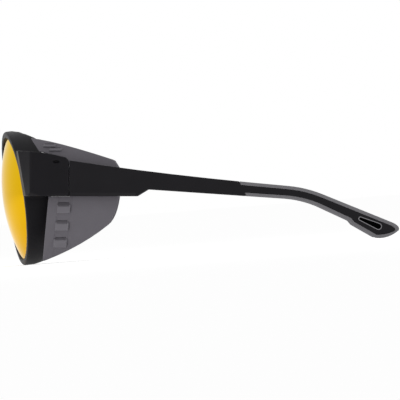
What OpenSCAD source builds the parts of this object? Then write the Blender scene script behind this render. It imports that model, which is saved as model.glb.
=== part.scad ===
// Glacier glasses: a wrapped front with two round lenses, folding temples with rubber sleeves,
// and side shields that slide on to the temples.
// Sizes are millimetres. The pieces are drawn as worn, x to the wearer's left, y from front to back
// and z up from the bottom of the rims, and are then tipped to stand on a table.

/* [Lenses] */
// Width of each lens
lens_w = 52; // [48:0.5:56]
// Height of each lens
lens_h = 49; // [45:0.5:51]
// Thickness of each lens
lens_t = 2; // [1.6:0.1:2.4]
// Radius of the lens's front sphere
lens_r = 66; // [60:1:80]
// Gap between the two lenses across the nose
lens_gap = 20; // [17:0.5:22]
// Turn of each lens around the face
wrap_angle = 8; // [5:0.5:10]
// Lean of the lenses, top forward
lean_angle = 7.5; // [5:0.5:9]

/* [Front] */
// Width of the rim around a lens
rim_w = 2.6; // [2.2:0.1:3.2]
// Depth of the rim behind the lens's front face
rim_depth = 7; // [6:0.1:8]
// Height of the rim's lip in front of the lens
rim_lip = 0.9; // [0.6:0.1:1.2]
// Depth of the groove that holds the lens's edge
groove_d = 0.8; // [0.5:0.1:1.2]
// Distance between the outer faces of the temples
front_w = 148; // [144:1:154]
// Height of the bridge
bridge_h = 10; // [8:0.5:12]
// Depth of the bridge
bridge_d = 5; // [4:0.5:6]
// Distance from the front of the lenses to the hinge line
hinge_y = 27.6; // [26:0.2:30]
// Thickness of the endpiece and of the temple's root
root_t = 4.5; // [4:0.1:5.5]

/* [Temples] */
// Length of the temple from the hinge line to the tip
temple_len = 132; // [125:1:138]
// Height of the temple at the hinge
root_h = 14.4; // [13:0.2:15]
// Height of the temple behind the step
shaft_h = 7.6; // [7:0.1:8.5]
// Height of the temple where the ear bend starts
waist_h = 5.2; // [4.8:0.1:6]
// Height of the paddle at the tip
paddle_h = 8.3; // [7.5:0.1:9.5]
// Thickness of the temple at the tip
tip_t = 3.4; // [3:0.1:4]
// Inward bow of the temple at the tip
tip_bow = 6.5; // [5:0.5:8]
// Width of the rubber edge around the core
sleeve_w = 1.4; // [1.1:0.1:1.7]
// Thickness of the rubber behind the core
sleeve_t = 1.4; // [1.1:0.1:1.7]
// Length of the blind slot in the tip
slot_len = 9; // [7:0.5:10]
// Width of the blind slot at its wide end
slot_w = 2.2; // [1.8:0.1:2.6]

/* [Shields] */
// Thickness of a side shield
shield_t = 1.2; // [1:0.1:1.5]
// Radius of the shield around the cheek
shield_r = 40; // [36:1:46]
// Length of the shield behind the hinge line
shield_len = 19.8; // [18:0.2:22]
// Height of a vent pad above the shield
pad_rise = 0.6; // [0.4:0.1:0.8]
// Height of a vent slit
slit_h = 0.5; // [0.4:0.1:0.8]
// Length of the rail that carries the shield
rail_len = 11; // [9:0.5:12]

/* [Hinges and pads] */
// Height of the hinge barrel
barrel_h = 10; // [8:0.5:10.5]
// Outer radius of the hinge barrel
barrel_r = 1.6; // [1.4:0.05:1.8]
// Radius of the hinge screw's shank
pin_r = 0.7; // [0.6:0.05:0.8]
// Thickness of a hinge leaf
leaf_t = 1; // [0.8:0.1:1.2]
// Length of a hinge leaf
leaf_len = 7; // [6:0.5:7.5]
// Length of a nose pad
pad_len = 14; // [12:0.5:16]
// Radius of the post that holds a nose pad
post_r = 1.1; // [0.9:0.1:1.3]

/* [Hidden] */
$fn = 96;
far = 200;
overlap = 0.01;
play = 0.1;
seat_gap = 0.05;
pin_play = 0.03;
slide_gap = 0.15;

// A lens leans on the nose and wraps around the face, and its rim follows it
lens_x = (lens_w + lens_gap) / 2;
lens_y = 1.3;
lens_z = lens_h / 2 + rim_w - 0.3;
rim_out_w = lens_w + 2 * rim_w;
rim_out_h = lens_h + 2 * rim_w;
rim_top = lens_z + lens_h / 2 + rim_w;
edge_sag = lens_r - sqrt(pow(lens_r, 2) - pow(lens_w / 2, 2));

// The rim's front face is a slice of a wide upright cylinder, with a full lip on every side of the lens
high_sag = lens_r - sqrt(pow(lens_r, 2) - pow(lens_h / 2, 2));
face_r = 400;
face_bow = face_r - sqrt(pow(face_r, 2) - pow(lens_w / 2, 2));
face_y = min(high_sag, edge_sag - face_bow) - rim_lip;
face_room = 3;

// The top and bottom of the rim round off backwards along a level cylinder
back_r = lens_h / 2 + 6.5;
back_y = face_y - 9.8;
back_z = -0.8;

// The temple's root and the endpiece share one height and one thickness
outer_x = front_w / 2;
inner_x = outer_x - root_t;
root_lift = 1.5;
root_bottom = lens_z + root_lift;
root_top = root_bottom + root_h;
root_run = 27;
root_end = hinge_y + root_run;
root_chamfer = 1.4;
temple_gap = 0.2;

// The endpiece grows out of the rim's outer side
side_x = lens_x + lens_w / 2;
side_y = lens_y + lens_w / 2 * sin(wrap_angle) + edge_sag * cos(wrap_angle);
side_root = 4;
side_depth = 7;
corner_run = 2.6;
corner_round = 0.4;
end_rise = 3.2;
end_rise_y = hinge_y - 12.4;
end_top = root_top + 4.4;
end_slot = [1, 2.6, 0.9];
end_slot_y = hinge_y - 6.4;
end_slot_z = root_top - 1.1;

// The bridge is a bar with a hollow top and an arch below it
bridge_y = 1.4;
bridge_z = lens_z + lens_h / 2 - 7;
bridge_half = lens_gap / 2 + 7.5;
bridge_dip = 1.6;
arch_half = lens_gap / 2 - 1;
arch_rise = 2.6;

// The nose pads lie behind the inner sides of the rims
pad_w = 7;
pad_t = 2.6;
pad_narrow = 0.6;
pad_at = [lens_gap / 2 - 0.7, lens_y + rim_depth + 6.4, lens_z - 6.8];
pad_turn = [0, 12, -72];
post_len = 4.4;
post_hole = 1.6;
post_foot = 0.9;
post_shoulder = 0.3;

// Five hinge knuckles share the barrel, three on the temple and two on the front
axis_x = inner_x - barrel_r - play;
barrel_z = root_bottom + (root_h - barrel_h) / 2;
knuckles = 5;
knuckle_h = barrel_h / knuckles;
web_run = barrel_r + play;
screw_r = 0.6;
screw_len = 2.4;
screw_head_r = 1.1;
screw_head_h = 0.5;
screw_first = web_run + screw_head_r + play;
screw_step = leaf_len - screw_first - screw_head_r - play;
pin_head_r = 1.5;
pin_head_h = 0.7;
pin_tail = 0.6;
driver_w = 0.4;
driver_d = 0.3;

// The temple runs back from the hinge, steps up behind its root, bends down over the ear
// and ends in a paddle
tip_y = hinge_y + temple_len;
step_run = 4.5;
ear_run = 44.4;
bend_y = tip_y - ear_run;
bend_r = 48;
bend_steps = 6;
shaft_angle = 5;
ear_angle = 22;
shaft_drop = 10.25;
bend_top = [bend_y, root_top - shaft_drop];
shaft_pull_y = (hinge_y + bend_y) / 2 - 5.4;
shaft_pull = [shaft_pull_y, bend_top[1] + (bend_y - shaft_pull_y) * tan(shaft_angle)];
bend_centre = bend_top - bend_r * [sin(shaft_angle), cos(shaft_angle)];
ear_top = bend_centre + bend_r * [sin(ear_angle), cos(ear_angle)];
nose_run = 4;
nose_d = 1.9;
heel_in = 2.4;
heel_lift = 1.5;
heel_run = 7.5;
paddle_run = 17.7;
cheek_run = 1.9;
cheek_lift = 1.4;
waist_growth = 0.7;
tip_run = (tip_y - ear_top[0] + nose_d * sin(ear_angle)) / cos(ear_angle);
bow_start = root_end + 5;
bow_steps = 12;
thin_start = hinge_y + 12;
thin_run = 70;

// The sleeve starts along a slanting line, and a blind slot is sunk in the core between its edges
sleeve_top_y = bend_y - 28.6;
sleeve_low_y = bend_y - 16.6;
sleeve_slant = 8;
sleeve_clear = 10;
sleeve_top_share = 0.96;
core_root = 6;
slot_floor = (sleeve_t + seat_gap + 0.5) / tip_t;
slot_in = 7.2;
slot_depth = 0.42 * paddle_h;
slot_turn = 2;

// The shield is a slice of a cylinder around the cheek, with a boss that slides along the rail
shield_x = inner_x - 0.3;
shield_end = hinge_y + shield_len;
lobe_floor = root_bottom - 0.25;
lobe_tuck = barrel_z - pin_tail - 3 * play;
tuck_y = hinge_y + 3 * play;
rail_y = hinge_y + 8.2;
rail_z = root_bottom + root_h / 2;
rail_h = 3;
rail_stem = 1.1;
rail_root = 0.5;
rail_head_h = 5;
rail_head_t = 0.9;
boss_wall = 1.2;
boss_h = rail_head_h + 2 * (slide_gap + boss_wall);
boss_x = inner_x - rail_stem - rail_head_t - slide_gap - boss_wall;
boss_back = 0.2;

// Corners of the shield's outline, as [y, z]
brow_front = [hinge_y - 15.4, rim_top - 2.3];
brow_pull = [hinge_y - 5.6, rim_top - 3.3];
brow_rear = [shield_end - 1.9, root_top + 0.2];
lobe_back = [shield_end, root_top - 2.8];
lobe_corner = [shield_end - 4.6, lens_z - 10];
lobe_pull = [shield_end - 1.2, lens_z - 7.2];
toe = [hinge_y - 10.2, lens_z - lens_h / 2];
toe_pull = [hinge_y + 4.4, toe[1] + 5.7];
toe_blunt = 0.4;
lobe_front = [hinge_y - 8.2, lobe_floor];
shield_mid = rail_y - play;
shield_mid_top = root_top - 1.2;
swing_back = [hinge_y - 1.2, root_top + 1.05];
swing_front = [end_rise_y + 0.4, root_top + end_rise + 0.3];

// Vents: pads stand on a sunk band, each with a slit above it
band_d = 0.3;
band_w = 5.7;
band_top = lobe_floor + 1;
band_foot = toe[1] - 0.5;
band_y = hinge_y - 4.2;
band_lean = 2.7 / 25.6;
pad_lap = 0.3;
pad_inset = 0.15;
slit_slant = 50;
slit_reach = 3;
slit_inset = 0.2;
slit_sink = 0.15;
lower_pad_w = 5.1;
lower_pad_h = 3.3;
lower_pad_drop = [6.4, 13.5, 20.2];
upper_pad_w = 4.8;
upper_pad_h = 1;
upper_pad_y = hinge_y - 10.4;
upper_pad_z = root_top + 5.4;
upper_pad_step = [2.4, -1.6];

// Outlines

oval_points = 60;
curve_steps = 6;

function oval(w, h) =
    [for (i = [0 : oval_points - 1])
        let (a = 360 * i / oval_points) [w / 2 * cos(a), h / 2 * sin(a)]];

// A smooth curve from a to c, pulled towards b, without its first point
function curve(a, b, c) =
    [for (i = [1 : curve_steps])
        let (t = i / curve_steps) pow(1 - t, 2) * a + 2 * t * (1 - t) * b + pow(t, 2) * c];

// A round end between two directions
function round_end(centre, r, from, to) =
    [for (i = [0 : 2 * curve_steps])
        let (a = from + (to - from) * i / (2 * curve_steps)) centre + r * [cos(a), sin(a)]];

// A slot with a narrow and a wide round end
function taper_slot(narrow, r_narrow, wide, r_wide) =
    let (run = wide - narrow)
    let (aim = atan2(run[1], run[0]))
    let (open = 90 + asin((r_wide - r_narrow) / norm(run)))
    concat(
        round_end(narrow, r_narrow, aim + open, aim + 360 - open),
        round_end(wide, r_wide, aim - open, aim + open));

// A point along the temple's ear part, at a distance below its top line
function ear_point(run, depth) =
    ear_top + run * [cos(ear_angle), -sin(ear_angle)] - depth * [sin(ear_angle), cos(ear_angle)];

function bend_point(r, i) =
    let (a = shaft_angle + (ear_angle - shaft_angle) * i / bend_steps)
    bend_centre + r * [sin(a), cos(a)];

function shaft_top(margin) =
    [for (p = concat([[hinge_y, root_top]], curve([hinge_y, root_top], shaft_pull, bend_top)))
        p - [0, margin]];

function tip_nose(margin) = ear_point(tip_run - margin, nose_d + margin / 2);
function tip_top(margin) = ear_point(tip_run - nose_run, margin);

// Side outline of the temple, drawn in by a margin
function temple_side(margin) = concat(
    shaft_top(margin),
    [for (i = [1 : bend_steps]) bend_point(bend_r - margin, i)],
    [tip_top(margin)],
    curve(tip_top(margin), ear_point(tip_run - margin, margin), tip_nose(margin)),
    curve(tip_nose(margin), ear_point(tip_run - heel_in - margin, paddle_h - heel_lift - margin),
        ear_point(tip_run - heel_run, paddle_h - margin)),
    [ear_point(tip_run - paddle_run, paddle_h - cheek_lift - margin),
     ear_point(tip_run - paddle_run - cheek_run, waist_h + waist_growth - margin)],
    [for (i = [bend_steps : -1 : 0]) bend_point(bend_r - waist_h + margin, i)],
    [[root_end + step_run, step_z + margin],
     [root_end, root_bottom + margin],
     [hinge_y, root_bottom + margin]]);

// The shaft's lower edge starts at the shaft's height below its top edge
shaft_share = (root_end + step_run - hinge_y) / (bend_y - hinge_y);
step_z = curve_height(shaft_share) - shaft_h;
function curve_height(t) =
    pow(1 - t, 2) * root_top + 2 * t * (1 - t) * shaft_pull[1] + pow(t, 2) * bend_top[1];

// Plan of the temple
function bow(y) = y < bow_start ? 0 : tip_bow * pow((y - bow_start) / (tip_y - bow_start), 2);
function thick(y) = root_t + (tip_t - root_t) * max(0, min(1, (y - thin_start) / thin_run));
plan_y = concat([hinge_y + temple_gap, thin_start],
    [for (i = [0 : bow_steps]) bow_start + (tip_y + 1 - bow_start) * i / bow_steps]);
function plan_edge(share) = [for (y = plan_y) [outer_x - bow(y) - (1 - share) * thick(y), y]];
function backwards(points) = [for (i = [len(points) - 1 : -1 : 0]) points[i]];

// Resting places: the front bottom edge of the rims, and whatever of the temple is lowest from there
rim_low = [
    lens_y + face_y * cos(wrap_angle) * cos(lean_angle) + rim_out_h / 2 * sin(lean_angle),
    lens_z + face_y * cos(wrap_angle) * sin(lean_angle) - rim_out_h / 2 * cos(lean_angle)];
rest_slope = min([for (p = temple_side(0)) if (p[0] > bend_y) (p[1] - rim_low[1]) / (p[0] - rim_low[0])]);
rest_tilt = atan(rest_slope);
function rest_y(p) = p[0] * cos(rest_tilt) + p[1] * sin(rest_tilt);
lens_centre = lens_r * cos(wrap_angle) * [cos(lean_angle), sin(lean_angle)] + [lens_y, lens_z];
rest_front = rest_y(lens_centre) - lens_r;
rest_back = max([for (p = temple_side(0)) rest_y(p)]);
rest_shift = (rest_front + rest_back) / 2;
rest_drop = rim_low[1] * cos(rest_tilt) - rim_low[0] * sin(rest_tilt);

// Shared building shapes

// Extrudes a side outline of [y, z] points across the whole width of one half
module side_cut(points) {
    rotate([90, 0, 90]) linear_extrude(height = far) polygon(points);
}

// Extrudes a plan outline of [x, y] points over the whole height
module plan_cut(points) {
    translate([0, 0, -far / 4]) linear_extrude(height = far) polygon(points);
}

module lens_place() {
    translate([lens_x, lens_y, lens_z])
        rotate([lean_angle, 0, 0]) rotate([0, 0, wrap_angle]) children();
}

// A slice of the lens's sphere between two radii, cut to an oval
module cap(w, h, r_out, r_in) {
    intersection() {
        translate([0, lens_r, 0]) difference() {
            sphere(r = r_out);
            sphere(r = r_in);
        }
        rotate([90, 0, 0]) translate([0, 0, -lens_r / 2])
            linear_extrude(height = lens_r) polygon(oval(w, h));
    }
}

// Stands the worn glasses on a table, with the origin at the middle of the footprint
module stand() {
    translate([0, -rest_shift, -rest_drop]) rotate([-rest_tilt, 0, 0]) children();
}

module right_side() {
    mirror([1, 0, 0]) children();
}

// Front

module lens() {
    color("#d9a514") lens_place() cap(lens_w, lens_h, lens_r, lens_r - lens_t);
}

module rim() {
    lens_place() intersection() {
        cap(rim_out_w, rim_out_h, lens_r + face_room, lens_r - rim_depth);
        translate([0, face_y + face_r, -far / 2]) cylinder(r = face_r, h = far, $fn = 4 * $fn);
        translate([-far / 2, back_y, back_z]) rotate([0, 90, 0]) cylinder(r = back_r, h = far);
    }
}

// The room that a lens takes in its groove, and the opening in front of it and behind it
module lens_room() {
    lens_place() {
        cap(lens_w - 2 * groove_d, lens_h - 2 * groove_d, lens_r + 2 * side_root, lens_r - 2 * side_depth);
        cap(lens_w + 2 * play, lens_h + 2 * play, lens_r + play, lens_r - lens_t - play);
    }
}

// Chamfer along the lower outer edge of the endpiece and of the temple's root
module root_edge() {
    translate([outer_x, 0, root_bottom]) rotate([-90, 0, 0]) linear_extrude(height = root_end)
        polygon([[1, 1], [-root_chamfer, 1], [-root_chamfer, 0], [0, -root_chamfer], [1, -root_chamfer]]);
}

module endpiece() {
    intersection() {
        plan_cut([[side_x - side_root, side_y - side_root / 4],
            [outer_x - side_root, side_y],
            [outer_x - corner_round, side_y + corner_run * 2 / 3],
            [outer_x, side_y + corner_run],
            [outer_x, hinge_y],
            [inner_x, hinge_y],
            [inner_x, side_y + side_depth * 3 / 2],
            [side_x - side_root / 4, side_y + side_depth]]);
        side_cut([[side_y - side_root, root_bottom],
            [hinge_y, root_bottom],
            [hinge_y, root_top],
            [end_rise_y, root_top + end_rise],
            [side_y - side_root, end_top]]);
    }
}

arch_steps = 12;
function bridge_outline() = concat(
    [for (i = [0 : arch_steps])
        let (u = 1 - 2 * i / arch_steps) [bridge_half * u, bridge_h / 2 - bridge_dip * cos(90 * u)]],
    [[-bridge_half, -bridge_h / 2]],
    [for (i = [0 : arch_steps])
        let (a = 180 * i / arch_steps) [-arch_half * cos(a), arch_rise * sin(a) - bridge_h / 2]],
    [[bridge_half, -bridge_h / 2]]);

module bridge() {
    translate([0, bridge_y, bridge_z]) rotate([90 + lean_angle, 0, 0])
        translate([0, 0, -bridge_d]) linear_extrude(height = bridge_d) polygon(bridge_outline());
}

module pad_place() {
    translate(pad_at) rotate(pad_turn) children();
}

// Post that carries a nose pad, from the rim to inside the pad
module pad_post() {
    pad_place() rotate([0, 90, 0]) {
        translate([0, 0, pad_t / 2 - post_hole]) cylinder(r = post_r, h = post_len + post_hole);
        translate([0, 0, pad_t / 2 + post_shoulder]) cylinder(r = post_r + post_foot, h = post_len);
    }
}

// Seat for a hinge leaf in the inner face of the endpiece or of the temple
module leaf_seat(forward) {
    translate([inner_x - overlap, hinge_y - (forward ? leaf_len + play : 0), barrel_z - play])
        cube([leaf_t + overlap, leaf_len + play, barrel_h + 2 * play]);
}

// Room for the hinge beside the inner face of the endpiece
module hinge_room() {
    translate([axis_x - 2 * barrel_r, hinge_y - leaf_len - play, barrel_z - play])
        cube([inner_x - axis_x + 2 * barrel_r, 2 * leaf_len, barrel_h + 2 * play]);
}

// Two rods through a leaf, one behind and above the other
module leaf_rods(forward, start, length, r) {
    for (i = [0, 1]) {
        run = screw_first + screw_step * i;
        rise = barrel_h / 2 + (i - 0.5) * screw_step;
        translate([inner_x + start, hinge_y + (forward ? -run : run), barrel_z + rise])
            rotate([0, 90, 0]) cylinder(r = r, h = length);
    }
}

// Small blind slot in the endpiece's outer face, under its top edge
module endpiece_slot() {
    translate([outer_x - end_slot[0], end_slot_y, end_slot_z])
        cube([2 * end_slot[0], end_slot[1], end_slot[2]]);
}

module half_front() {
    difference() {
        union() {
            rim();
            endpiece();
            pad_post();
        }
        lens_room();
        root_edge();
        hinge_room();
        leaf_seat(true);
        leaf_rods(true, 0, leaf_t + screw_len, screw_r + seat_gap);
        endpiece_slot();
    }
}

module front_frame() {
    color("#201e22") {
        half_front();
        right_side() half_front();
        difference() {
            bridge();
            lens_room();
            right_side() lens_room();
        }
    }
}

pad_facets = 20;
module nose_pad() {
    color("#2a292d") pad_place() difference() {
        hull() for (side = [-1, 1], end = [-1, 1]) {
            spread = (pad_w - pad_t) / 2 * (end > 0 ? pad_narrow : 1);
            translate([0, side * spread, end * (pad_len - pad_t) / 2]) sphere(d = pad_t, $fn = pad_facets);
        }
        translate([pad_t / 2 - post_hole - 2 * play, 0, 0]) rotate([0, 90, 0])
            cylinder(r = post_r + seat_gap, h = 2 * pad_t);
    }
}

// Hinges

module pin_bore() {
    translate([axis_x, hinge_y, barrel_z - barrel_h / 2]) cylinder(r = pin_r + pin_play, h = 2 * barrel_h);
}

// A knuckle and the web that joins it to its leaf
module knuckle(index, forward) {
    translate([axis_x, hinge_y, barrel_z + index * knuckle_h + play / 2]) {
        cylinder(r = barrel_r, h = knuckle_h - play);
        translate([0, forward ? -web_run : 0, 0])
            cube([inner_x - axis_x + leaf_t / 2, web_run, knuckle_h - play]);
    }
}

module hinge_leaf(forward) {
    back = temple_gap + play;
    color("#8d8d92") difference() {
        union() {
            translate([inner_x, hinge_y + (forward ? -leaf_len : back), barrel_z])
                cube([leaf_t - seat_gap, leaf_len - back, barrel_h]);
            for (i = [forward ? 1 : 0 : 2 : knuckles - 1]) knuckle(i, forward);
        }
        pin_bore();
        leaf_rods(forward, -leaf_t, 3 * leaf_t, screw_r + seat_gap);
    }
}

module leaf_screws(forward) {
    color("#b5b5ba") difference() {
        union() {
            leaf_rods(forward, -screw_head_h, screw_head_h + leaf_t + screw_len - play, screw_r);
            leaf_rods(forward, -screw_head_h - seat_gap, screw_head_h, screw_head_r);
        }
        for (i = [0, 1]) {
            run = screw_first + screw_step * i;
            translate([inner_x - 2 * screw_head_h, hinge_y + (forward ? -run : run), barrel_z])
                translate([0, -driver_w / 2, 0]) cube([screw_head_h + driver_d, driver_w, barrel_h]);
        }
    }
}

module hinge_screw() {
    color("#b5b5ba") translate([axis_x, hinge_y, barrel_z]) difference() {
        union() {
            translate([0, 0, -pin_tail]) cylinder(r = pin_r, h = pin_tail + barrel_h + pin_head_h);
            translate([0, 0, barrel_h + play]) cylinder(r = pin_head_r, h = pin_head_h);
        }
        translate([-2 * pin_head_r, -driver_w / 2, barrel_h + play + pin_head_h - driver_d])
            cube([4 * pin_head_r, driver_w, 2 * driver_d]);
    }
}

// Temples

slot_wide = ear_point(tip_run - slot_in, slot_depth);
slot_run = slot_len - 0.75 * slot_w;
slot_aim = ear_angle + slot_turn;
slot_narrow = slot_wide + slot_run * [-cos(slot_aim), sin(slot_aim)];
tip_slot = taper_slot(slot_narrow, slot_w / 4, slot_wide, slot_w / 2);

// What lies behind the sleeve's slanting front end
function sleeve_region(ahead) = [[sleeve_top_y - ahead, root_top + sleeve_clear],
    [tip_y + sleeve_clear, root_top + sleeve_clear],
    [tip_y + sleeve_clear, -far / 4],
    [sleeve_low_y + sleeve_slant - ahead, -far / 4],
    [sleeve_low_y - ahead, root_bottom]];

// The temple's plan between two shares of its thickness, from 0 at its inner to 1 at its outer face
module temple_slab(from, to) {
    plan_cut(concat(plan_edge(from), backwards(plan_edge(to))));
}

module rail() {
    translate([inner_x - rail_stem, rail_y, rail_z - rail_h / 2])
        cube([rail_stem + rail_root, rail_len, rail_h]);
    translate([inner_x - rail_stem - rail_head_t, rail_y, rail_z - rail_head_h / 2])
        cube([rail_head_t, rail_len, rail_head_h]);
}

module temple() {
    color("#262428") difference() {
        union() {
            difference() {
                intersection() {
                    temple_slab(0, 1);
                    side_cut(temple_side(0));
                }
                side_cut(sleeve_region(seat_gap));
            }
            intersection() {
                temple_slab((sleeve_t + seat_gap) / tip_t, 1);
                side_cut(temple_side(sleeve_w + seat_gap));
                translate([0, sleeve_top_y - core_root, -far / 4]) cube(far);
            }
            rail();
        }
        intersection() {
            temple_slab(slot_floor, 2);
            side_cut(tip_slot);
        }
        root_edge();
        leaf_seat(false);
        leaf_rods(false, 0, leaf_t + screw_len, screw_r + seat_gap);
    }
}

module temple_sleeve() {
    color("#6a686c") difference() {
        intersection() {
            temple_slab(0, sleeve_top_share);
            side_cut(temple_side(0));
            side_cut(sleeve_region(0));
        }
        intersection() {
            temple_slab(sleeve_t / tip_t, 2);
            side_cut(temple_side(sleeve_w));
        }
    }
}

// Shields

shield_outline = concat(
    [brow_front],
    curve(brow_front, brow_pull, brow_rear),
    [lobe_back, [shield_end, lobe_floor]],
    curve([shield_end, lobe_floor], lobe_pull, lobe_corner),
    curve(lobe_corner, toe_pull, toe),
    [toe + toe_blunt * [-1, 1], lobe_front, [tuck_y, lobe_floor], [tuck_y, lobe_tuck],
     [shield_mid, lobe_tuck], [shield_mid, shield_mid_top],
     [swing_back[0], shield_mid_top], swing_back, swing_front]);

// The outer half of the shield's cylinder, between two offsets from its outer face
module shield_shell(out, in) {
    translate([shield_x - shield_r, 0, lens_z]) rotate([-90, 0, 0]) difference() {
        cylinder(r = shield_r + out, h = far / 2, $fn = 2 * $fn);
        translate([0, 0, -far / 4]) cylinder(r = shield_r - in, h = far, $fn = 2 * $fn);
        translate([-far, -far / 2, -far / 4]) cube(far);
    }
}

function band_edge(z) = band_y - (band_top - z) * band_lean;
vent_band = [[band_edge(band_top), band_top], [band_edge(band_top) + band_w, band_top],
    [band_edge(band_foot) + band_w, band_foot], [band_edge(band_foot), band_foot]];

// Places of the vent pads, as [front y, bottom z, length, height]
lower_pads = [for (drop = lower_pad_drop)
    [band_edge(lobe_floor - drop) + pad_inset, lobe_floor - drop, lower_pad_w, lower_pad_h]];
upper_pads = [for (i = [0, 1])
    concat([upper_pad_y, upper_pad_z] + i * upper_pad_step, [upper_pad_w, upper_pad_h])];
pads = concat(lower_pads, upper_pads);

// A slanted four sided cut from the height z0 to z1 of a pad
module pad_cut(pad, z0, z1) {
    side_cut([[pad[0], pad[1] + z0], [pad[0] + pad[2], pad[1] + z0],
        [pad[0] + pad[2] + pad_lap, pad[1] + z1], [pad[0] + pad_lap, pad[1] + z1]]);
}

function shell_x(z) = shield_x - shield_r + sqrt(pow(shield_r, 2) - pow(z - lens_z, 2));

// A slit along the top of a pad, slanted through the shell so that no light shines straight in
module vent_slit(pad) {
    z = pad[1] + pad[3] - slit_sink;
    translate([shell_x(z), pad[0] + pad_lap + slit_inset, z])
        rotate([0, z < lens_z ? slit_slant : -slit_slant, 0])
        translate([-slit_reach, 0, 0]) cube([2 * slit_reach, pad[2] - 3 * slit_inset, slit_h]);
}

module boss() {
    translate([boss_x, shield_mid, rail_z - boss_h / 2])
        cube([inner_x - boss_back - boss_x, rail_len, boss_h]);
}

// The channel that runs along the rail
module channel() {
    translate([boss_x + boss_wall, rail_y - 1, rail_z - rail_head_h / 2 - slide_gap])
        cube([rail_head_t + 2 * slide_gap, far, rail_head_h + 2 * slide_gap]);
    translate([boss_x + boss_wall + slide_gap, rail_y - 1, rail_z - rail_h / 2 - slide_gap])
        cube([2 * root_t, far, rail_h + 2 * slide_gap]);
}

module shield() {
    color("#625f66") difference() {
        union() {
            intersection() {
                difference() {
                    shield_shell(0, shield_t);
                    intersection() {
                        shield_shell(pad_rise, band_d);
                        side_cut(vent_band);
                    }
                }
                side_cut(shield_outline);
            }
            for (pad = pads) intersection() {
                shield_shell(pad_rise, shield_t);
                pad_cut(pad, 0, pad[3]);
            }
            boss();
        }
        for (pad = pads) vent_slit(pad);
        channel();
    }
}

stand() front_frame();
stand() lens();  // left_lens
stand() right_side() lens();  // right_lens
stand() nose_pad();  // left_nose_pad
stand() right_side() nose_pad();  // right_nose_pad

stand() hinge_leaf(true);  // left_front_leaf
stand() right_side() hinge_leaf(true);  // right_front_leaf
stand() leaf_screws(true);  // left_front_leaf_screws
stand() right_side() leaf_screws(true);  // right_front_leaf_screws
stand() hinge_screw();  // left_hinge_screw
stand() right_side() hinge_screw();  // right_hinge_screw
stand() temple();  // left_temple
stand() right_side() temple();  // right_temple
stand() temple_sleeve();  // left_temple_sleeve
stand() right_side() temple_sleeve();  // right_temple_sleeve
stand() hinge_leaf(false);  // left_temple_leaf
stand() right_side() hinge_leaf(false);  // right_temple_leaf
stand() leaf_screws(false);  // left_temple_leaf_screws
stand() right_side() leaf_screws(false);  // right_temple_leaf_screws
stand() shield();  // left_shield
stand() right_side() shield();  // right_shield
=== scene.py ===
import bmesh
import bpy
from math import atan2, cos, hypot, pi, radians, sin, sqrt
from mathutils import Matrix, Vector


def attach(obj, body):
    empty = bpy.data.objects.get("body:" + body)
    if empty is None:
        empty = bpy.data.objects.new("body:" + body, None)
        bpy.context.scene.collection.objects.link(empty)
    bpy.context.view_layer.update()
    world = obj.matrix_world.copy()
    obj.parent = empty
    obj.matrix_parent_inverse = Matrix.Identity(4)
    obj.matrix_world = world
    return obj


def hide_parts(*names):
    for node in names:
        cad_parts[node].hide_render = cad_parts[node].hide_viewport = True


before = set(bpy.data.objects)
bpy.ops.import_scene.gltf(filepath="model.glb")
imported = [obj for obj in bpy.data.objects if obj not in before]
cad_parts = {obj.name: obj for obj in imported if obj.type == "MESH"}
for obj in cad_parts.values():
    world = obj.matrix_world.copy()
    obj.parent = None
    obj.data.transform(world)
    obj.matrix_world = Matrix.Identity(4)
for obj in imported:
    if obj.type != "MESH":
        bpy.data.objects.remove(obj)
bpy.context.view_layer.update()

# THE FRONT
# One piece of black nylon, injection moulded: two deep oval rims, the bridge, and an endpiece on
# each side. The mould leaves soft corners, and the tool's fine spark texture gives it a satin face.

# The glasses are drawn as worn, in millimetres, and then tipped to stand on rims and temple tips.
MM = 0.001
worn_tilt = radians(4.43788)
stand_y, stand_z = -0.081527, 0.00025229
stand = (Matrix.Translation((0, stand_y, stand_z)) @ Matrix.Rotation(-worn_tilt, 4, "X")
         @ Matrix.Scale(MM, 4))

lens_half_w, lens_half_h, lens_ball = 26, 24.5, 66
lens_x, lens_y, lens_z = 36, 1.3, 26.8
lens_lean, lens_wrap = radians(7.5), radians(8)
lens_seat = (Matrix.Translation((lens_x, lens_y, lens_z)) @ Matrix.Rotation(lens_lean, 4, "X")
             @ Matrix.Rotation(lens_wrap, 4, "Z"))

# The rim's front face, its bow across and how far it falls back below; the ball that its back follows
face_y, face_bow, face_fall, fall_over, back_ball = 3.59, 800, 0.6, 25, 59
# The round, seen from the side, that trims its top and bottom
trim_r, trim_y, trim_z = 31, -6.21, -0.8
# Its cross section, as distance from the lens's middle and share of the rim's depth
rim_in, face_edge, rim_out = 26.2, 28.2, 28.6
rim_section = ([(rim_in, 0.0), (face_edge, 0.0)]
               + [(rim_out, share) for share in (0.06, 0.3, 0.5, 0.7, 0.85, 1.0)] + [(rim_in, 1.0)])


def oval_from_round(verts):
    """Squeezes a spun ring into the lens's oval. A vertex's depth from 0 to 1 is its place between the
    rim's slightly bowed front face and its back, which rounds off at the top and bottom."""
    for v in verts:
        grow, a = hypot(v.co.x, v.co.z) - lens_half_w, atan2(v.co.z, v.co.x)
        x, z = (lens_half_w + grow) * cos(a), (lens_half_h + grow) * sin(a)
        front_y = face_y + x * x / face_bow + face_fall * (min(0, z) / fall_over) ** 2
        back_y = lens_ball - sqrt(back_ball ** 2 - x * x - z * z)
        y = front_y + v.co.y * (back_y - front_y)
        reach = sqrt(trim_r ** 2 - (y - trim_y) ** 2)
        v.co = (x, y, max(trim_z - reach, min(trim_z + reach, z)))


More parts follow.
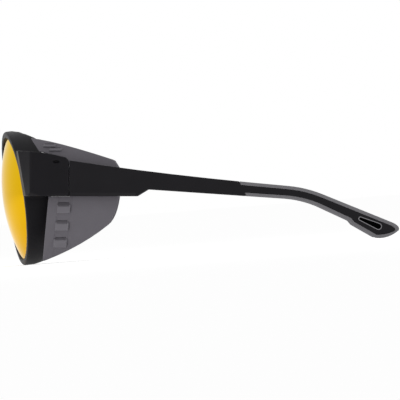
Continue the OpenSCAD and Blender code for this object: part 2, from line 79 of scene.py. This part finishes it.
front_bm = bmesh.new()
corners = [front_bm.verts.new((r, y, 0)) for r, y in rim_section]
edges = [front_bm.edges.new((a, b)) for a, b in zip(corners, corners[1:] + corners[:1])]
bmesh.ops.spin(front_bm, geom=corners + edges, cent=(0, 0, 0), axis=(0, 1, 0), angle=2 * pi, steps=144,
               use_merge=True)
bmesh.ops.remove_doubles(front_bm, verts=front_bm.verts, dist=1e-4)
oval_from_round(front_bm.verts)
bmesh.ops.transform(front_bm, matrix=lens_seat, verts=front_bm.verts)

# The endpiece: its plan from the rim round to the hinge, and how its top edge climbs
hinge_y, outer_x, inner_x = 27.6, 74, 69.5
root_bottom, root_top = 28.3, 42.7
knee_y, climb, brow_climb, brow_run = 15.2, 3.2, 1.2, 9
ridge_x, ridge_front, ridge_back = 73, 17, 26.3
ridge_top, ridge_fall = 46.2, 0.25
plan = [(58, 9.2), (70, 10.2), (73.6, 11.94), (outer_x, 12.8), (outer_x, ridge_front), (outer_x, hinge_y),
        (inner_x, hinge_y), (inner_x, 20.7), (61, 17.2)]
lean_before, lean_x, lean_y = 11, 2.5, 3.2
ledge = 1.4


def endpiece_top(y):
    """Height of the endpiece's top edge: it climbs forwards from the hinge, and less past its knee."""
    if y > knee_y:
        return root_top + climb * (hinge_y - y) / (hinge_y - knee_y)
    return root_top + climb + brow_climb * (knee_y - y) / brow_run


def verts_of(geom):
    """The vertices among what an operator made."""
    return [part for part in geom if isinstance(part, bmesh.types.BMVert)]


end_bm = bmesh.new()
underside = end_bm.faces.new([end_bm.verts.new((x, y, root_bottom)) for x, y in plan])
for v in verts_of(bmesh.ops.extrude_face_region(end_bm, geom=[underside])["geom"]):
    v.co.z = endpiece_top(v.co.y)
    # The front leans with the rim, up to the outer corner, which is upright.
    if v.co.y < lean_before:
        v.co.y -= lean_y
        v.co.x -= lean_x
lower_edge = [e for e in end_bm.edges
              if all(v.co.x > outer_x - 0.5 and v.co.z < root_bottom + 0.5 for v in e.verts)]
bmesh.ops.bevel(end_bm, geom=lower_edge, offset=ledge, offset_type="OFFSET", affect="EDGES", segments=1,
                profile=0.5, material=-1)


def score(level, way):
    """Cuts the endpiece's faces at a level across x, y or z, so that what is beyond it can be moved."""
    bmesh.ops.bisect_plane(end_bm, geom=end_bm.verts[:] + end_bm.edges[:] + end_bm.faces[:], dist=1e-5,
                           plane_co=Vector(way) * level, plane_no=way)


# Halfway through the rim's wall, and the oval's middle as the wrap brings it in at the endpiece's depth
mid_wall, wrapped_x = 1.4, 34.6


def rim_wall(rise):
    """How far out from the lens's middle the rim's wall is, at a height over that middle."""
    return (lens_half_w + mid_wall) * sqrt(1 - (rise / (lens_half_h + mid_wall)) ** 2)


# The inner end is buried in the rim's wall, so it is cut at many heights and follows the oval.
buried_x = 62
for level in range(31, 45, 2):
    score(level, (0, 0, 1))
for v in end_bm.verts:
    if v.co.x < buried_x:
        v.co.x = wrapped_x + rim_wall(v.co.z - lens_z)

# A ridge along its outer top edge closes the slit of light under the shield, clear of the shield's swing.
score(ridge_x - 0.1, (1, 0, 0))
score(ridge_x + 0.1, (1, 0, 0))
score(ridge_back, (0, 1, 0))
for v in end_bm.verts:
    along_ridge = v.co.x > ridge_x and ridge_front - 0.1 < v.co.y < hinge_y - 0.5
    if along_ridge and v.co.z > endpiece_top(v.co.y) - 0.02:
        v.co.z = ridge_top - ridge_fall * (v.co.y - ridge_front)

# A small blind slot under the endpiece's top edge
slot_front, slot_back, slot_bottom, slot_top, slot_deep = 21.2, 23.8, 41.6, 42.5, 1
for level, way in ((slot_front, (0, 1, 0)), (slot_back, (0, 1, 0)), (slot_bottom, (0, 0, 1)),
                   (slot_top, (0, 0, 1))):
    score(level, way)
slot_faces = []
for f in end_bm.faces:
    x, y, z = f.calc_center_median()
    if x > outer_x - 0.1 and slot_front < y < slot_back and slot_bottom < z < slot_top:
        slot_faces.append(f)
sunk = bmesh.ops.extrude_face_region(end_bm, geom=slot_faces)["geom"]
bmesh.ops.translate(end_bm, vec=(-slot_deep, 0, 0), verts=verts_of(sunk))
bmesh.ops.delete(end_bm, geom=slot_faces, context="FACES_ONLY")


def add_to_front(name, bm):
    """Adds a closed shape to the front."""
    mesh = bpy.data.meshes.new(name)
    bmesh.ops.recalc_face_normals(bm, faces=bm.faces)
    bm.to_mesh(mesh)
    bm.free()
    front_bm.from_mesh(mesh)


add_to_front("endpiece_shape", end_bm)

# A post on the back of each rim carries a nose pad: a thin stem and a thicker collar.
pad_place, pad_turn, pad_tip = (9.3, 14.7, 20), radians(-72), radians(12)
pad_seat = (Matrix.Translation(pad_place) @ Matrix.Rotation(pad_turn, 4, "Z")
            @ Matrix.Rotation(pad_tip, 4, "Y"))
for radius, start, length in ((1.1, -0.3, 6), (2, 1.6, 4.4)):
    along = Matrix.Translation((start + length / 2, 0, 0)) @ Matrix.Rotation(pi / 2, 4, "Y")
    bmesh.ops.create_cone(front_bm, cap_ends=True, segments=32, radius1=radius, radius2=radius, depth=length,
                          matrix=pad_seat @ along)
bmesh.ops.mirror(front_bm, geom=front_bm.verts[:] + front_bm.edges[:] + front_bm.faces[:], axis="X",
                 merge_dist=-1)

# The bridge: a bar hollowed on top and arched below, leaning with the lenses.
bridge_half_w, bridge_half_h, bridge_thick = 17.5, 5, 5
bridge_y, bridge_z = 1.4, 44.3
top_dip, arch_half_w, arch_rise = 1.6, 9, 2.6
bridge_bm = bmesh.new()
bmesh.ops.create_grid(bridge_bm, x_segments=32, y_segments=8, size=0.5)
for v in bridge_bm.verts:
    x, share = v.co.x * 2 * bridge_half_w, v.co.y + 0.5
    top = bridge_half_h - top_dip * cos(pi / 2 * x / bridge_half_w)
    arch = -bridge_half_h
    if abs(x) < arch_half_w:
        arch += arch_rise * sqrt(1 - (x / arch_half_w) ** 2)
    z = arch + share * (top - arch)
    end_x = lens_x - rim_wall(bridge_z - lens_z + z)
    v.co = (max(-end_x, min(end_x, x)), 0, z)
thick = bmesh.ops.extrude_face_region(bridge_bm, geom=bridge_bm.faces[:])["geom"]
bmesh.ops.translate(bridge_bm, vec=(0, bridge_thick, 0), verts=verts_of(thick))
bmesh.ops.transform(bridge_bm, verts=bridge_bm.verts, matrix=Matrix.Translation((0, bridge_y, bridge_z))
                    @ Matrix.Rotation(lens_lean, 4, "X"))
add_to_front("bridge_shape", bridge_bm)
bmesh.ops.transform(front_bm, matrix=stand, verts=front_bm.verts)


def piece(name, bm, turn_out=True):
    """Makes a bmesh an object at the origin. The faces of a new shape are turned outwards."""
    mesh = bpy.data.meshes.new(name)
    if turn_out:
        bmesh.ops.recalc_face_normals(bm, faces=bm.faces)
    bm.to_mesh(mesh)
    bm.free()
    obj = bpy.data.objects.new(name, mesh)
    bpy.context.scene.collection.objects.link(obj)
    return obj


def applied(obj):
    """An object's mesh after its modifiers, which are then taken off."""
    mesh = bpy.data.meshes.new_from_object(obj.evaluated_get(bpy.context.evaluated_depsgraph_get()))
    obj.modifiers.clear()
    return mesh


def soften(obj, grain, passes, keep=1.0):
    """Skins a closed shape at a fine grain in millimetres, eases its corners as a mould does, and keeps
    a share of the faces."""
    skin = obj.modifiers.new("skin", "REMESH")
    skin.mode, skin.voxel_size = "VOXEL", grain * MM
    bm = bmesh.new()
    bm.from_mesh(applied(obj))
    for _ in range(passes):
        bmesh.ops.smooth_vert(bm, verts=bm.verts, factor=0.5, use_axis_x=True, use_axis_y=True,
                              use_axis_z=True)
    for f in bm.faces:
        f.smooth = True
    bm.to_mesh(obj.data)
    bm.free()
    if keep < 1:
        obj.modifiers.new("thin", "DECIMATE").ratio = keep
        obj.data = applied(obj)
    obj.data.materials.clear()
    return obj


class Socket:
    """A shader value: arithmetic on it adds Math nodes."""

    def __init__(self, tree, out):
        self.tree, self.out = tree, out

    def node(self, kind, settings=None, **inputs):
        """Adds a node; settings are set first, then its sockets by name or s0, s1, ..."""
        made = self.tree.nodes.new(kind)
        for key, value in (settings or {}).items():
            setattr(made, key, value)
        for key, value in inputs.items():
            numbered = key[0] == "s" and key[1:].isdigit()
            plug = made.inputs[int(key[1:]) if numbered else key]
            if isinstance(value, Socket):
                self.tree.links.new(value.out, plug)
            else:
                plug.default_value = value
        return Socket(self.tree, made.outputs[0])

    def named(self, name):
        return Socket(self.tree, self.out.node.outputs[name])

    def maths(self, operation, a, b):
        return self.node("ShaderNodeMath", {"operation": operation}, s0=a, s1=b)

    def __add__(self, other):
        return self.maths("ADD", self, other)

    def __sub__(self, other):
        return self.maths("SUBTRACT", self, other)

    def __rsub__(self, other):
        return self.maths("SUBTRACT", other, self)

    def __mul__(self, other):
        return self.maths("MULTIPLY", self, other)

    def __truediv__(self, other):
        return self.maths("DIVIDE", self, other)

    def __rtruediv__(self, other):
        return self.maths("DIVIDE", other, self)

    def clamp(self):
        return self.node("ShaderNodeClamp", None, Value=self)

    __radd__, __rmul__ = __add__, __mul__


def finish_called(name):
    """A new material, its shader, and the object's own coordinates in millimetres."""
    mat = bpy.data.materials.new(name)
    mat.use_nodes = True
    shader = mat.node_tree.nodes["Principled BSDF"]
    place = Socket(mat.node_tree, None).node("ShaderNodeTexCoord").named("Object")
    return mat, shader, place.node("ShaderNodeMapping", None, Vector=place, Scale=(1 / MM, 1 / MM, 1 / MM))


def noise(place, size, detail=2.0, rough=0.5):
    """Cloudy noise from 0 to 1 whose lumps are about that many millimetres."""
    return place.node("ShaderNodeTexNoise", None, Vector=place, Scale=1 / size, Detail=detail,
                      Roughness=rough)


def between(factor, dark, light):
    """The colour that far from dark to light; a Mix node's colours are its sockets 6 and 7 and output 2."""
    mixed = factor.node("ShaderNodeMix", {"data_type": "RGBA"}, s0=factor, s6=(*dark, 1), s7=(*light, 1))
    return Socket(mixed.tree, mixed.out.node.outputs[2])


def feed(shader, **plugs):
    """Sets or links a shader's sockets, with _ for the spaces in their names."""
    for name, value in plugs.items():
        plug = shader.inputs[name.replace("_", " ")]
        if isinstance(value, Socket):
            value.tree.links.new(value.out, plug)
        else:
            plug.default_value = value


def moulded_plastic(name, dark, light, gloss, grain, sheen):
    """Satin moulded plastic: a spark textured face, cloudy sheen, paler scuffs, and convex edges painted
    paler, partly as rubbed wear and partly as a painted highlight.
    """
    mat, shader, place = finish_called(name)
    cloud = noise(place, 9.0, 4.0)
    spark = noise(place, grain, 2.0, 0.7)
    scuff = (noise(place, 2.2, 6.0, 0.75) - 0.58).clamp() * 3.0
    # Convex edges are painted paler: partly rubbed wear, partly a painted highlight where edges catch the
    # light.
    edge_wear_and_highlight = (place.node("ShaderNodeNewGeometry").named("Pointiness") - 0.515).clamp() * 9.0
    paleness = (cloud * 0.5 + spark * 0.3 + scuff * 0.35 + edge_wear_and_highlight).clamp()
    bump = place.node("ShaderNodeBump", None, Height=spark, Strength=0.16, Distance=0.04 * MM)
    feed(shader, Base_Color=between(paleness, dark, light), Normal=bump, Specular_IOR_Level=sheen,
         Roughness=gloss + (cloud - 0.5) * 0.16 + (spark - 0.5) * 0.12)
    return mat


front = soften(piece("moulded_front", front_bm), grain=0.26, passes=5, keep=0.45)
front.data.materials.append(moulded_plastic("black_nylon", (0.0038, 0.0034, 0.0045), (0.0108, 0.0099, 0.0124),
                                            gloss=0.46, grain=0.22, sheen=0.10))
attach(front, "front")
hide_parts("front_frame")

# THE LENSES
# Each is a 2 mm round of dark lens plastic ground to a ball's curve, edged to an oval and snapped into
# the rim's groove. A gold mirror coating is on its front, amber, and painted paler yellow towards the top:
# a painted reflection of the bright space above, standing in for the coating's colour shift with the view.
lens_thick, groove_deep = 2, 0.8
# The height over which the coating is painted from amber to pale yellow, as painted reflection
painted_reflection_height = 50
amber, pale_gold_painted_reflection, gold_glance = (0.70, 0.33, 0.0), (0.72, 0.48, 0.006), (1.0, 0.9, 0.55, 1)
smoke_dark, smoke_light = (0.010, 0.006, 0.004), (0.018, 0.011, 0.007)
# The right side is the left side mirrored.
mirrored = {"left": Matrix.Identity(4), "right": Matrix.Scale(-1, 4, (1, 0, 0))}


def lens_round(side):
    """A square grid rounded to the oval and bent to the ball, its front faces coated and its back not."""
    bm = bmesh.new()
    bmesh.ops.create_grid(bm, x_segments=56, y_segments=56, size=1)
    for v in bm.verts:
        u, w = v.co.x, v.co.y
        x = (lens_half_w + groove_deep) * u * sqrt(1 - w * w / 2)
        z = (lens_half_h + groove_deep) * w * sqrt(1 - u * u / 2)
        v.co = (x, lens_ball - sqrt(lens_ball ** 2 - hypot(x, z) ** 2), z)
    bmesh.ops.recalc_face_normals(bm, faces=bm.faces)
    coated = bm.faces[:]
    back = bmesh.ops.extrude_face_region(bm, geom=coated)["geom"]
    bmesh.ops.translate(bm, vec=(0, lens_thick, 0), verts=verts_of(back))
    for f in bm.faces:
        f.material_index = 1
    for f in coated:
        f.material_index = 0
    bmesh.ops.transform(bm, matrix=stand @ mirrored[side] @ lens_seat, verts=bm.verts)
    lens = piece(side + "_mirror_lens", bm)
    for f in lens.data.polygons:
        f.use_smooth = True
    lens.data.set_sharp_from_angle(angle=radians(40))
    return lens


gold_mirror, shader, place = finish_called("gold_mirror")
drift = noise(place, 30.0, 1.0)
smear = noise(place, 6.0, 4.0, 0.6)
# The coating is painted paler towards the top as a painted reflection of the bright space above; drift and
# smear vary it at random.
share_up = place.node("ShaderNodeSeparateXYZ", None, Vector=place).named("Z") / painted_reflection_height
feed(shader, Base_Color=between((share_up * 0.7 + drift * 0.2 + smear * 0.1).clamp(), amber, pale_gold_painted_reflection),
     Metallic=1.0, Roughness=0.07 + smear * 0.06, Specular_Tint=gold_glance)
smoke_plastic, shader, place = finish_called("smoke_plastic")
feed(shader, Base_Color=between(noise(place, 8.0, 2.0), smoke_dark, smoke_light),
     Roughness=0.05 + noise(place, 5.0, 4.0) * 0.05)
for side in mirrored:
    lens = lens_round(side)
    lens.data.materials.append(gold_mirror)
    lens.data.materials.append(smoke_plastic)
    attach(lens, "front")
    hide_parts(side + "_lens")

# THE NOSE PADS
# Firm black rubber, moulded with rounded edges and narrower at the top. Each is pushed on to a post at
# the back of the rim.
pad_thick, pad_w, pad_h, pad_taper = 2.6, 7, 14, 0.74
pad_corner, pad_edge = 2.2, 1.1
nose_rubber = moulded_plastic("nose_rubber", (0.008, 0.008, 0.0085), (0.022, 0.0215, 0.023),
                              gloss=0.62, grain=0.3, sheen=0.12)


def through(edge):
    """How far an edge runs through the pad's thickness."""
    return abs(edge.verts[0].co.x - edge.verts[1].co.x)


for side in mirrored:
    bm = bmesh.new()
    bmesh.ops.create_cube(bm, size=1, matrix=Matrix.Diagonal((pad_thick, pad_w, pad_h, 1)))
    for v in bm.verts:
        if v.co.z > 0:
            v.co.y *= pad_taper
    bmesh.ops.bevel(bm, geom=[e for e in bm.edges if through(e) > 1], offset=pad_corner, segments=6,
                    offset_type="OFFSET", affect="EDGES", profile=0.5, material=-1)
    bmesh.ops.bevel(bm, geom=[e for e in bm.edges if through(e) < 0.1], offset=pad_edge, segments=4,
                    offset_type="OFFSET", affect="EDGES", profile=0.5, material=-1)
    bmesh.ops.transform(bm, matrix=stand @ mirrored[side] @ pad_seat, verts=bm.verts)
    pad = piece(side + "_rubber_pad", bm)
    for f in pad.data.polygons:
        f.use_smooth = True
    pad.data.materials.append(nose_rubber)
    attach(pad, "front")
    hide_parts(side + "_nose_pad")

# THE HINGES
# Stamped steel leaves with rolled knuckles, let into the endpiece and the temple, each held by two
# slotted screws. A turned screw drops through the knuckles and is the pin.
dull_steel, bright_steel = (0.30, 0.30, 0.31), (0.56, 0.56, 0.57)
steel, shader, place = finish_called("hinge_steel")
stretched = place.node("ShaderNodeMapping", None, Vector=place, Scale=(1.0, 1.0, 9.0))
brush = noise(stretched, 0.5, 3.0, 0.7)
tarnish = noise(place, 1.6, 4.0, 0.6)
feed(shader, Base_Color=between((brush * 0.6 + tarnish * 0.4).clamp(), dull_steel, bright_steel),
     Metallic=1.0, Roughness=0.24 + brush * 0.2 + tarnish * 0.1)
for side in mirrored:
    for part in ("front_leaf", "front_leaf_screws", "temple_leaf", "temple_leaf_screws", "hinge_screw"):
        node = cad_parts[side + "_" + part]
        node.data.materials.clear()
        node.data.materials.append(steel)

# THE TEMPLES
# Black nylon arms, thicker at the root, stepping up behind it and bending down over the ear. A rail on
# the inside carries the shield, and a blind teardrop hollow is sunk in the outside of the tip's paddle;
# its inside is painted near black as shade.

# The hollow's narrow and wide ends, seen from outside, and how far its softened edge is drawn forwards
narrow_end, narrow_r, narrow_draw = Vector((145.6, 18.9)), 0.55, Vector((-1.4, 0.45))
wide_end, wide_r, wide_draw = Vector((152.3, 15.9)), 1.1, Vector((-0.9, 0.35))
# The hollow's own surface lies between these depths, and less than so far outside its edge.
wall_deep, hollow_deep, wall_off = 0.25, 2, 0.2
# The drawing fades out this far past the hollow's ends, and between 0.2 and 1.2 mm beside it.
fade_past, fade_beside = 4, 1.2
# The arm's outer face is straight up to here, and has bowed in by so much after a further run.
bow_from, bow_run, bow_in = 59.6, 100, 6.5
as_worn = stand.inverted()


def softened_copy(node, name, grain, passes):
    """A copy of a CAD piece with its triangles joined and its corners eased."""
    bm = bmesh.new()
    bm.from_mesh(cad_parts[node].data)
    bmesh.ops.remove_doubles(bm, verts=bm.verts, dist=1e-7)
    return soften(piece(name, bm, turn_out=False), grain, passes)


def arm_face(y):
    """How far out the arm's outer face is: it bows in towards the tip."""
    return outer_x - bow_in * (max(0, y - bow_from) / bow_run) ** 2


def from_hollow(spot):
    """For a place on an arm in worn millimetres: its share of the way along the hollow, how far it is past
    either end, how far outside the hollow's edge, and how deep under the arm's face."""
    run = wide_end - narrow_end
    share = (spot.yz - narrow_end).dot(run) / run.length_squared
    past = max(0, -share, share - 1) * run.length
    share = max(0, min(1, share))
    off = (spot.yz - narrow_end - run * share).length - narrow_r - share * (wide_r - narrow_r)
    return share, past, off, arm_face(spot.y) - abs(spot.x)


temple_nylon = moulded_plastic("temple_nylon", (0.0048, 0.0044, 0.0056), (0.0122, 0.0113, 0.0136),
                               gloss=0.43, grain=0.22, sheen=0.11)
# The hollow's walls and floor are painted near black with little gloss: painted shade for the deep inside of
# the hollow.
hollow_painted_shade = moulded_plastic("hollow_painted_shade", (0.0008, 0.0008, 0.0009), (0.002, 0.002, 0.0022),
                               gloss=0.75, grain=0.22, sheen=0.02)
for side in mirrored:
    arm = softened_copy(side + "_temple", side + "_arm", grain=0.2, passes=2)
    arm.data.materials.append(temple_nylon)
    arm.data.materials.append(hollow_painted_shade)
    # Faces inside the hollow take the painted shade.
    for f in arm.data.polygons:
        _, _, off, deep = from_hollow(as_worn @ f.center)
        f.material_index = int(off < wall_off and wall_deep < deep < hollow_deep)
    for v in arm.data.vertices:
        spot = as_worn @ v.co
        share, past, off, deep = from_hollow(spot)
        if deep < hollow_deep and past < fade_past:
            beside = sqrt(max(0, (off + narrow_r) ** 2 - past ** 2)) - narrow_r if past else off
            pull = (1 - past / fade_past) * max(0, min(1, fade_beside - beside))
            y, z = spot.yz + pull * narrow_draw.lerp(wide_draw, share)
            v.co = stand @ Vector((spot.x, y, z))
    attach(arm, side + "_temple_body")
    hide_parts(side + "_temple")

# THE SLEEVES
# Grey rubber moulded over the rear half of each arm: it wraps the inside and shows outside as a narrow
# edge around the black core. A fine raised bead of the same rubber edges the hollow in the tip; its pale
# grey is partly the rubber and partly a painted highlight along the hollow's edge.
bead_w, bead_sunk, bead_high = 0.3, 0.15, 0.25
grey_rubber = moulded_plastic("grey_rubber", (0.120, 0.117, 0.125), (0.190, 0.185, 0.196),
                              gloss=0.60, grain=0.35, sheen=0.2)


def hollow_bead_and_highlight(side):
    """A flat ring round the hollow, made from two loops with a half round at either end."""
    narrow, wide = narrow_end + narrow_draw, wide_end + wide_draw
    lengthways = (wide - narrow).normalized()
    bm = bmesh.new()
    for grow in (bead_w, 0):
        for v in bmesh.ops.create_circle(bm, segments=48, radius=1)["verts"]:
            r, middle = (narrow_r, narrow) if v.co.x < 0 else (wide_r, wide)
            y, z = middle + (lengthways * v.co.x + lengthways.orthogonal() * v.co.y) * (r + grow)
            v.co = (arm_face(y) - bead_sunk, y, z)
    bmesh.ops.bridge_loops(bm, edges=bm.edges[:])
    raised = bmesh.ops.extrude_face_region(bm, geom=bm.faces[:])["geom"]
    bmesh.ops.translate(bm, vec=(bead_high, 0, 0), verts=verts_of(raised))
    bmesh.ops.transform(bm, matrix=stand @ mirrored[side], verts=bm.verts)
    return piece(side + "_hollow_bead_and_highlight", bm)


for side in mirrored:
    sleeve = softened_copy(side + "_temple_sleeve", side + "_grip", grain=0.17, passes=2)
    sleeve.data.materials.append(grey_rubber)
    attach(sleeve, side + "_temple_body")
    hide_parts(side + "_temple_sleeve")

    # The bead's pale grey is partly a painted highlight along the hollow's edge.
    bead = hollow_bead_and_highlight(side)
    bead.data.materials.append(grey_rubber)
    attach(bead, side + "_temple_body")

# THE SHIELDS
# Flexible matte grey plastic, moulded as a curved blade with a sunk band of vent pads, each with a slit
# over it. A boss inside grips the temple's rail, and the blade slides back off it.

# The blade's outer face is part of a round along y, and the pads stand proud of it.
shell_x, shell_z, shell_r, pad_proud = 29.2, 26.8, 40, 0.12
# The lower lobe's top edge, how far it rises, how far below and above the rise fades out, and where it ends
lobe_top, lobe_lift, lobe_fade, lobe_end, end_fade = 28.05, 0.2, 2, 28, 0.6


def lobe_rise(y, z):
    """How far the lower lobe's soft top edge stands up towards the endpiece."""
    near = max(0, 1 - abs(lobe_top - z) / lobe_fade)
    return lobe_lift * near * max(0, min(1, (lobe_end - y) / end_fade))


# The proud vent pads are painted a lighter grey than the blade: painted light for the raised pads catching
# more light than the sunk band.
pad_grey_painted_light = moulded_plastic("pad_grey_painted_light", (0.118, 0.111, 0.126), (0.168, 0.160, 0.178),
                           gloss=0.50, grain=0.28, sheen=0.2)
shield_grey = moulded_plastic("shield_grey", (0.098, 0.091, 0.105), (0.146, 0.138, 0.155),
                              gloss=0.52, grain=0.28, sheen=0.2)
for side in mirrored:
    blade = softened_copy(side + "_shield", side + "_blade", grain=0.17, passes=2)
    for v in blade.data.vertices:
        spot = as_worn @ v.co
        spot.z += lobe_rise(spot.y, spot.z)
        v.co = stand @ spot
    blade.data.materials.append(shield_grey)
    blade.data.materials.append(pad_grey_painted_light)
    # Faces standing proud of the blade's round are the pads, painted lighter.
    for f in blade.data.polygons:
        spot = as_worn @ f.center
        f.material_index = int(hypot(abs(spot.x) - shell_x, spot.z - shell_z) > shell_r + pad_proud)
    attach(blade, side + "_shield_body")
    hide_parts(side + "_shield")

# THE STUDIO
# A plain white table and surroundings, and three soft lamps: above, ahead and behind. The camera looks
# square at the wearer's left side from far away, and is rolled so that the glasses show as worn.
bm = bmesh.new()
bmesh.ops.create_grid(bm, x_segments=1, y_segments=1, size=30)
table = piece("table", bm)
white_top, shader, _ = finish_called("white_top")
feed(shader, Base_Color=(0.92, 0.92, 0.92, 1), Roughness=0.9, Specular_IOR_Level=0.0,
     Emission_Color=(1, 1, 1, 1), Emission_Strength=0.45)
table.data.materials.append(white_top)

world = bpy.data.worlds.new("studio")
bpy.context.scene.world = world
world.use_nodes = True
# White for what the camera sees directly, in a gloss or through glass, and dimmer for the light that falls
path = Socket(world.node_tree, None).node("ShaderNodeLightPath")
seen_by_eye = (path.named("Is Camera Ray") + path.named("Is Glossy Ray")
               + path.named("Is Transmission Ray")).clamp()
falling = 0.58
feed(world.node_tree.nodes["Background"], Color=(1, 1, 1, 1),
     Strength=falling + seen_by_eye * (1 - falling))

aim = Vector((0, 0, 0.03))
for name, spot, size, watts in (("over", (0.25, -0.1, 0.75), 0.7, 0.8),
                                ("ahead", (0.25, -0.9, 0.15), 0.5, 2.6),
                                ("behind", (0.3, 0.7, 0.35), 0.5, 0.8)):
    lamp = bpy.data.lights.new(name, "AREA")
    lamp.size, lamp.energy = size, watts
    holder = bpy.data.objects.new(name, lamp)
    holder.location = spot
    holder.rotation_euler = (aim - Vector(spot)).to_track_quat("-Z", "Y").to_euler()
    # The lamp ahead would show as a square in the mirror lenses.
    holder.visible_glossy = name != "ahead"
    bpy.context.scene.collection.objects.link(holder)

# The view's width at the glasses' outer side, in metres, and the place in its middle, as worn
view_w, side_x = 0.16, 0.07
view_y, view_z = 80, 26.8
lens_mm, sensor_mm = 1600, 36
camera = bpy.data.objects.new("camera", bpy.data.cameras.new("camera"))
camera.data.lens, camera.data.sensor_width, camera.data.clip_end = lens_mm, sensor_mm, 100
middle = stand @ Vector((0, view_y, view_z))
look = Matrix.Rotation(-worn_tilt, 4, "X") @ Matrix.Rotation(pi / 2, 4, "Z") @ Matrix.Rotation(pi / 2, 4, "X")
away = view_w * lens_mm / sensor_mm + side_x
camera.matrix_world = Matrix.Translation(middle) @ look @ Matrix.Translation((0, 0, away))
bpy.context.scene.collection.objects.link(camera)
bpy.context.scene.camera = camera
bpy.context.scene.view_settings.view_transform = "Standard"
